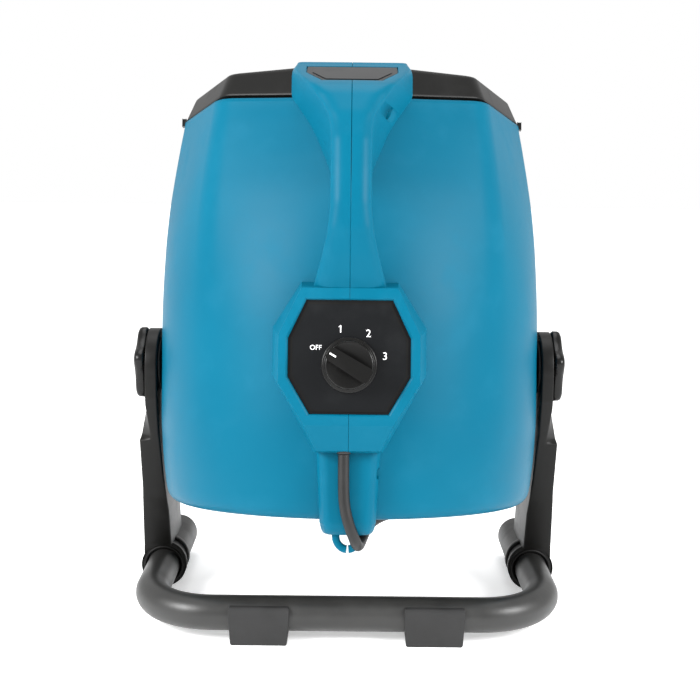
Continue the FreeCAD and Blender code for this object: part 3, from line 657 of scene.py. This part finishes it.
def dial():
    """The pointer dial: a skirt, a dished cap, a grip bar that points to OFF, and a white stroke near the
    bar's end that is a painted highlight.
    """
    centre = PIVOT + OUT * PLATE_N
    skirt = [(0.01, 0.4), (17.3, 0.4), (17.5, 0.8), (17.5, 2.6)] + arc(16.5, 2.6, 1.0, 0, 90, 4) + [
        (15.6, 3.8), (15.3, 4.2), (15.0, 9.6)] + arc(14.2, 9.6, 0.8, 0, 90, 4) + [
        (12.5, 9.9), (6, 8.8), (0.01, 8.6)]
    cap = turned(skirt, centre, OUT, ALONG, 128)
    turn = math.radians(DIAL_TURN)
    ahead = np.array([math.cos(turn), math.sin(turn)])
    beside = np.array([-ahead[1], ahead[0]])

    def on_dial(a, b, height):
        x, w = a * ahead[0] + b * beside[0], a * ahead[1] + b * beside[1]
        return head(x, PLATE_N + height, w)

    outline = [(15.1, -2.6), (15.1, 2.6), (13.2, 4.2), (-12.8, 4.9), (-14.8, 3.2), (-14.8, -3.2),
               (-12.8, -4.9), (13.2, -4.2)]
    bar = prism(outline, 5, 16.4, on_dial)
    piece = make_piece("dial", [cap, bar], DIAL, "speed_knob", ["speed_knob"])
    soften(piece, 0.9, 3, 30)
    # painted highlight: a white stroke near the end of the bar, put where the bar's end only catches a
    # bright edge of light
    painted_highlight_stroke = prism([(9.6, -0.5), (9.6, 0.5), (14.0, 0.5), (14.0, -0.5)], 16.2, 16.55, on_dial)
    make_piece("dial_mark", [painted_highlight_stroke], PRINT, "speed_knob", ())


# ------------------------------------------------------------------ stand
TUBE_Z = 19.0
LEG_X, BAR_Y, BEND = 146.0, PIVOT[1] - 88, 50.0


def stand_tube():
    """The U-shaped tube: a circle carried along two legs, two quarter bends and the front bar."""
    quarter = np.linspace(0, math.pi / 2, 26)
    leg = [(-LEG_X, y) for y in np.linspace(PIVOT[1] + 88, BAR_Y + BEND + 1, 16)]
    bend = [(-LEG_X + BEND - BEND * math.cos(a), BAR_Y + BEND - BEND * math.sin(a)) for a in quarter]
    left = leg + bend + [(x, BAR_Y) for x in np.linspace(-LEG_X + BEND + 4, -4, 12)]
    path = np.array([(x, y, TUBE_Z) for x, y in left] + [(-x, y, TUBE_Z) for x, y in reversed(left)])
    return make_piece("stand_tube", [swept(path, 12.5, 12.5, np.array([0, 0, 1.0]), 1.0, 48)], TUBE,
                      "stand", ["base_tube"])


ARM_KEYS = {   # key points along z from the pivot: front and back edges, inner and outer faces
    "front": [(-166, 16), (-148, 13), (-105, -4), (-50, -20), (-22, -26.4), (0, -27)],
    "back": [(-166, 66), (-160, 76), (-105, 56), (-45, 33), (-20, 27.2), (0, 27)],
    "inner": [(-166, 139.8), (-117, 139.6), (-88, 141.6), (-60, 142.6), (-48, 143.2), (27, 143.2)],
    "outer": [(-166, 162.0), (-153, 161.8), (-124, 160.2), (-97, 158.6), (-56, 158.4), (-28, 152.8),
              (27, 152)],
    "plate": [(-166, 149.5), (-52, 149.5), (-28, 152.5), (27, 152)],
    "scoop": [(-166, 0), (-56.5, 0), (-53.5, 8), (-30, 13), (27, 13)],
}


def arm(side, name):
    """A side arm: rounded sections up from the sleeve to the eye, and the sleeve that holds the leg."""
    z = np.concatenate([np.linspace(-166, -20, 260), EYE_R * np.sin(np.linspace(-0.8, math.pi / 2, 34))])
    z = np.unique(np.round(z, 4))
    at = {key: soft_step(points, z, 0.8) for key, points in ARM_KEYS.items()}
    circle = np.sqrt(np.maximum(EYE_R ** 2 - z ** 2, 0.01))
    front = np.where(z > -6, -circle, np.minimum(at["front"], np.where(z > -24, -circle, at["front"])))
    back = np.where(z > -6, circle, np.maximum(at["back"], np.where(z > -24, circle, at["back"])))
    middle = (front + back) / 2
    cut = np.minimum(front + at["scoop"], middle)
    corners = [np.stack([at[x], edge], -1) for x, edge in (
        ("inner", middle), ("inner", front), ("plate", front), ("outer", cut), ("outer", back),
        ("inner", back), ("inner", middle))]
    line = rounded(corners, [1.6, 0.9, 1.4, 2.4, 2.0], 5)[:, :-1]
    grid = np.stack([side * line[..., 0], PIVOT[1] + line[..., 1],
                     np.broadcast_to(PIVOT[2] + z[:, None], line.shape[:2])], -1)
    y_axis = np.array([0, 1.0, 0])
    sleeve = [(12.6, 30), (13.0, 14.4), (14.3, 12.2)] + arc(16.6, 13.1, 1.1, 215, 0, 6) + [
        (17.7, 20.2), (17.2, 21), (15.8, 21.4), (15.6, 24), (15.6, 99)
    ] + arc(9.6, 99, 6.0, 0, 90, 8)[1:] + [
        (0.01, 105.2), (0.01, 90), (12.6, 90)]
    leg = turned(sleeve, np.array([side * LEG_X, PIVOT[1], TUBE_Z]), y_axis, np.array([0, 0, 1.0]), 72)
    step = turned([(15.0, 33), (16.9, 33.4), (17.3, 34.2), (17.3, 39.5), (16.4, 40.4), (15.0, 40.6)],
                  np.array([side * LEG_X, PIVOT[1], TUBE_Z]), y_axis, np.array([0, 0, 1.0]), 72)
    return make_piece(name, [skin(grid), leg, step], BLACK, "stand", [name.replace("side_", "")])


def star_knob(side):
    """A five-lobed clamp knob: lobes as a cosine of the angle, a domed face and a centre cap."""
    axis = np.array([side, 0, 0.0])
    centre = PIVOT + axis * 152.4
    profile = [(0.01, 0), (0.90, 0.0), (0.97, 0.8), (1.0, 2.0), (0.995, 5.6), (0.96, 7.2), (0.88, 8.2),
               (0.6, 8.9), (0.42, 9.1), (0.40, 8.5), (0.36, 8.5), (0.34, 9.3), (0.3, 9.5), (0.01, 9.5)]
    angle = np.linspace(0, 2 * math.pi, 180, endpoint=False)
    share, height = np.array(profile, float).T
    lobes = 24.6 + 2.9 * np.cos(5 * angle) + 0.35 * np.cos(10 * angle)
    blend = np.clip((share - 0.42) / 0.45, 0, 1) ** 1.3
    radius = share[:, None] * (23.0 * (1 - blend[:, None]) + lobes[None] * blend[:, None])
    first, second = np.array([0, 0, 1.0]), np.cross(axis, [0, 0, 1.0])
    grid = centre + radius[..., None] * (np.cos(angle)[:, None] * first + np.sin(angle)[:, None] * second)
    grid = grid + height[:, None, None] * axis
    name = "left" if side < 0 else "right"
    return make_piece("star_knob_" + name, [skin(grid)], DIAL, "clamp_" + name, ["clamp_knob_" + name])


def clip_foot(side, name):
    """A rubber clip foot: a tapered block with sloped shoulders round the front bar."""
    middle = side * FOOT_X
    rows = []
    for z, half, front, back in ((0, 19.6, 14.4, 13.6), (2, 20.2, 15.0, 14.4), (20, 21.3, 15.2, 15.2),
                                 (25.4, 21.5, 14.6, 14.6), (27.6, 21.2, 12.6, 12.6)):
        rows.append([(middle - half, BAR_Y - front, z), (middle + half, BAR_Y - front, z),
                     (middle + half, BAR_Y + back, z), (middle - half, BAR_Y + back, z)])
    piece = make_piece(name, [skin(np.array(rows, float))], RUBBER, "stand",
                       [name.replace("clip", "front")])
    return soften(piece, 0.9, 3, 30)


# ------------------------------------------------------------------ mains cord
CORD_ROUTE = [(-2.9, 154, -57), (-2.9, 154, -74), (-2.4, 154, -89), (0.5, 153.2, -101),
              (4.5, 148.5, -112), (6.8, 137, -118.5), (9, 121, -117), (13, 98, -110.8), (21, 68, -107.6),
              (37, 36, -107.4), (47.6, 2, -107.4), (48.4, -30, -107.4), (48.3, -58, -107.4)]
LEAD_ROUTE = [(-40, -93.4, -112.8), (-58, -83.8, -111.5)]


def coil_points():
    """Control points of the coil: a circle whose radius steps in by a turn's width and then out again.

    Three turns run inwards beside the guard, and three and a bit run outwards over them.
    """
    turns = 6.328
    u = np.arange(0.0, turns, 1 / 16)[1:]
    shift = lambda start: np.clip((u - start) / 0.2, 0, 1)
    radius = COIL_R + COIL_STEP * (1 - shift(0.8) - shift(1.8) + shift(3.8) + shift(4.8))
    depth = -107.4 - 7.25 * shift(2.8)
    angle = 2 * math.pi * u
    return np.stack([COIL[0] + radius * np.cos(angle), COIL[1] - radius * np.sin(angle), depth], axis=-1)


def mains_cord():
    """The mains cord as one smooth spline: exit, boss, rim, coil and plug."""
    route = np.concatenate([CORD_ROUTE, coil_points(), LEAD_ROUTE])
    spots = head(*route.T) / 1000
    curve = bpy.data.curves.new("mains_cord", "CURVE")
    curve.dimensions = "3D"
    curve.bevel_depth = CORD_D / 2000
    curve.bevel_resolution = 5
    curve.resolution_u = 6
    curve.use_fill_caps = True
    line = curve.splines.new("NURBS")
    line.points.add(len(spots) - 1)
    line.points.foreach_set("co", np.concatenate([spots, np.ones((len(spots), 1))], axis=1).ravel())
    line.order_u = 3
    line.use_endpoint_u = True
    curve.materials.append(JACKET)
    piece = bpy.data.objects.new("mains_cord", curve)
    bpy.context.scene.collection.objects.link(piece)
    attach(piece, "head")
    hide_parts("cord_run", "cord_coil", "cord_tail")
    return piece


# ------------------------------------------------------------------ build
drum()
outlet_ring()
grille("outlet_guard", 102.6, 196.5, range(34, 96, 7), 16, 27, 0.9, 3.0, "front_guard")
grille("inlet_guard", 124.0, -99.6, range(40, 118, 7), 12, 32, 0.5, 0.0, "rear_guard")
handle(-1, "handle_left")
handle(1, "handle_right")
handle_screws()
ring_latches()
end_insert()
dial_panel()
label("OFF", 153, 3.0, 23.6)
for text, angle in (("1", 104), ("2", 59), ("3", 14)):
    label(text, angle, 4.7, 23)
dial()
stand_tube()
for side, name in ((-1, "left"), (1, "right")):
    arm(side, "side_arm_" + name)
    star_knob(side)
    clip_foot(side, "clip_foot_" + name)
mains_cord()

CAD_FINISH = {
    BLACK: ["rotary_switch", "capacitor", "impeller", "coil_ties", "pivot_bush_left",
            "pivot_bush_right"],
    RUBBER: ["rear_foot_left", "rear_foot_right", "friction_washer_left", "friction_washer_right",
             "strain_relief", "cord_plug"],
    STEEL: ["front_ring_screws", "front_bearing", "rear_bearing", "clamp_bolt_left", "clamp_bolt_right",
            "motor_shaft", "hub_nut"],
    CAST: ["motor_mount", "motor_end_cap"],
    MOTOR: ["motor_housing"],
    LAMINATED: ["stator", "rotor_core"],
    BRASS: ["plug_blades"],
    PANEL: ["guard_badge"],
}
for material, names in CAD_FINISH.items():
    for name in names:
        for slot in frame["nodes"][name].material_slots:
            slot.material = material


# ------------------------------------------------------------------ floor, light and camera
def floor():
    """A wide pale floor."""
    mesh = bpy.data.meshes.new("floor")
    mesh.from_pydata([(-8, -8, 0), (8, -8, 0), (8, 8, 0), (-8, 8, 0)], [], [(0, 1, 2, 3)])
    make = Maker("pale_floor")
    mesh.materials.append(make.finish(tone(0.93, 0.93, 0.93), make.fade(make.noise(4.0), 0.3, 0.7, 0.6, 0.7),
                                      Emission_Color=tone(1, 1, 1), Emission_Strength=0.42))
    plane = bpy.data.objects.new("floor", mesh)
    bpy.context.scene.collection.objects.link(plane)


def lamp(name, place, target, size, power):
    """A round area lamp: its place and the point that it faces, in metres."""
    light = bpy.data.lights.new(name, "AREA")
    light.shape, light.size, light.energy = "DISK", size, power
    thing = bpy.data.objects.new(name, light)
    thing.location = place
    thing.rotation_euler = (Vector(target) - Vector(place)).to_track_quat("-Z", "Y").to_euler()
    bpy.context.scene.collection.objects.link(thing)


def camera():
    """The camera on the control side: 911 mm in front of the pivot and 155 mm above it, tipped down."""
    data = bpy.data.cameras.new("camera")
    data.lens, data.sensor_width = 62.13, 36.0
    thing = bpy.data.objects.new("camera", data)
    spot = PIVOT + np.array([0.4, -911.0, 155.0])
    turn = Matrix.Rotation(math.radians(90 - 8.94), 4, "X") @ Matrix.Rotation(math.radians(0.6), 4, "Z")
    thing.matrix_world = Matrix.Translation(Vector(spot / 1000)) @ turn
    bpy.context.scene.collection.objects.link(thing)
    bpy.context.scene.camera = thing


floor()
world = bpy.data.worlds.new("studio")
world.use_nodes = True
world.node_tree.nodes["Background"].inputs[0].default_value = (1, 1, 1, 1)
world.node_tree.nodes["Background"].inputs[1].default_value = 1.0
bpy.context.scene.world = world
lamp("key", (-0.70, -0.56, 0.56), (-0.04, -0.05, 0.26), 0.40, 13.5)
lamp("fill", (0.74, -0.54, 0.52), (0.04, -0.05, 0.26), 0.40, 11)
lamp("top", (0, 0.2, 2.1), (0, 0, 0.2), 1.6, 24)
bpy.context.scene.view_settings.view_transform = "Standard"
camera()
